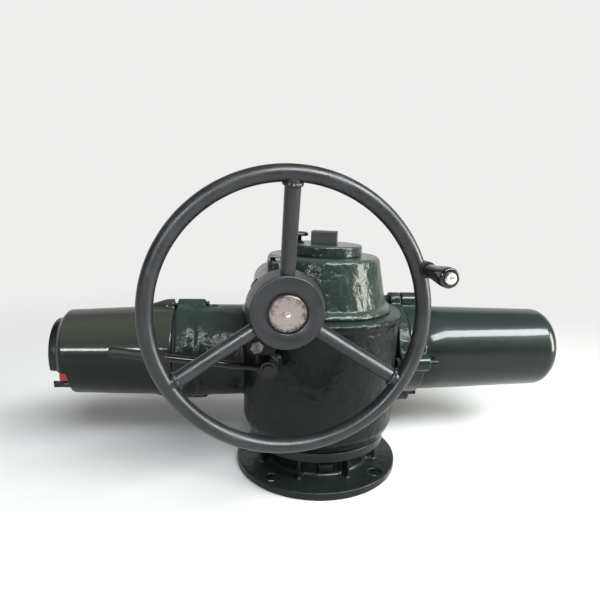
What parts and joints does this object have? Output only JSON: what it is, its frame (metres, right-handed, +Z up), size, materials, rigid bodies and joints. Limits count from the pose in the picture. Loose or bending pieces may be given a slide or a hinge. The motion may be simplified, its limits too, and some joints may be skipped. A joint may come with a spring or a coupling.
{
  "type": "electric valve actuator",
  "caption": "Multi-turn electric valve actuator with front handwheel, declutch lever, motor and control covers and a round bolting flange.",
  "frame": {"origin": "centre of the bolting flange at its underside", "axes": "+Z up along the output sleeve, -Y towards the handwheel side, +X towards the motor"},
  "size_m": [0.732, 0.387, 0.392],
  "materials": {
    "case_enamel": "gloss",
    "cover_enamel": "gloss",
    "wheel_paint": "satin",
    "machined_steel": "machined",
    "gear_bronze": "machined",
    "bearing_steel": "polished",
    "bolt_steel": "rough",
    "zinc_steel": "plated",
    "black_rubber": "matt",
    "grip_plastic": "gloss",
    "bezel_plastic": "gloss",
    "red_plastic": "gloss",
    "circuit_board": "solder mask",
    "moulded_grey": "matt",
    "motor_laminations": "laminated",
    "lever_steel": "satin"
  },
  "bodies": {
    "root": {"cap_disk": "case_enamel", "chassis_plate": "moulded_grey", "control_board": "circuit_board", "cover_bolts": "bolt_steel", "cover_gasket": "black_rubber", "electrical_cover": "cover_enamel", "end_bezel": "bezel_plastic", "gear_case": "case_enamel", "hand_bearing_cap": "case_enamel", "hand_front_bearing": "bearing_steel", "hand_rear_bearing": "bearing_steel", "lever_stop_bolt": "bolt_steel", "limit_switch_unit": "moulded_grey", "lower_seal": "black_rubber", "motor_bolts": "bolt_steel", "motor_cover": "case_enamel", "motor_end_bracket": "lever_steel", "motor_front_bearing": "bearing_steel", "motor_rear_bearing": "bearing_steel", "motor_shield": "case_enamel", "stator": "motor_laminations", "stem_plug": "lever_steel", "thrust_base": "case_enamel", "thrust_bearing": "bearing_steel", "top_bearing": "bearing_steel", "top_housing": "case_enamel", "worm_bearing_left": "bearing_steel", "worm_bearing_right": "bearing_steel"},
    "handwheel": {"handwheel_rim": "wheel_paint", "handwheel_spokes": "wheel_paint", "handwheel_hub": "wheel_paint", "handwheel_shaft": "machined_steel", "crank_boss": "wheel_paint", "crank_spindle": "zinc_steel"},
    "crank": {"crank_grip": "grip_plastic"},
    "hand_gear": {"hand_gear": "gear_bronze"},
    "worm": {"worm_shaft": "machined_steel", "motor_coupling": "machined_steel", "motor_rotor": "motor_laminations"},
    "output": {"drive_sleeve": "machined_steel", "drive_bush": "gear_bronze", "worm_wheel": "gear_bronze", "gear_spacer": "machined_steel"},
    "clutch": {"clutch_ring": "machined_steel"},
    "lever": {"lever_shaft": "machined_steel", "lever_hub": "lever_steel", "lever_rod": "lever_steel", "lever_grip": "black_rubber", "shift_yoke": "machined_steel"},
    "red_knob": {"red_selector": "red_plastic"},
    "black_knob": {"black_selector": "bezel_plastic"}
  },
  "joints": [
    {"name": "handwheel_spin", "type": "hinge", "parent": "root", "child": "handwheel", "pos_m": [-0.0635, 0, 0.25], "axis": [0, 1, 0], "continuous": true},
    {"name": "crank_spin", "type": "hinge", "parent": "handwheel", "child": "crank", "pos_m": [0.0672, -0.216, 0.30017], "axis": [0, 1, 0], "continuous": true},
    {"name": "hand_gear_spin", "type": "hinge", "parent": "root", "child": "hand_gear", "pos_m": [0, 0, 0.25], "axis": [0, 0, 1], "continuous": true},
    {"name": "worm_spin", "type": "hinge", "parent": "root", "child": "worm", "pos_m": [0, 0.055, 0.147], "axis": [1, 0, 0], "continuous": true},
    {"name": "output_spin", "type": "hinge", "parent": "root", "child": "output", "pos_m": [0, 0, 0.147], "axis": [0, 0, 1], "continuous": true},
    {"name": "lever_swing", "type": "hinge", "parent": "root", "child": "lever", "pos_m": [-0.078, 0, 0.17], "axis": [0, -1, 0], "range_deg": [0, 12]},
    {"name": "clutch_slide", "type": "slide", "parent": "output", "child": "clutch", "axis": [0, 0, 1], "range_m": [0, 0.0165]},
    {"name": "red_turn", "type": "hinge", "parent": "root", "child": "red_knob", "pos_m": [-0.34, 0.057, 0.106], "axis": [1, 0, 0], "range_deg": [-45, 45]},
    {"name": "black_turn", "type": "hinge", "parent": "root", "child": "black_knob", "pos_m": [-0.34, 0.034, 0.106], "axis": [1, 0, 0], "range_deg": [-45, 45]}
  ],
  "couplings": [
    {"joint": "hand_gear_spin", "follows": "handwheel_spin", "ratio": 0.03125},
    {"joint": "output_spin", "follows": "worm_spin", "ratio": 0.033333},
    {"joint": "clutch_slide", "follows": "lever_swing", "m_per_rad": 0.0762}
  ]
}
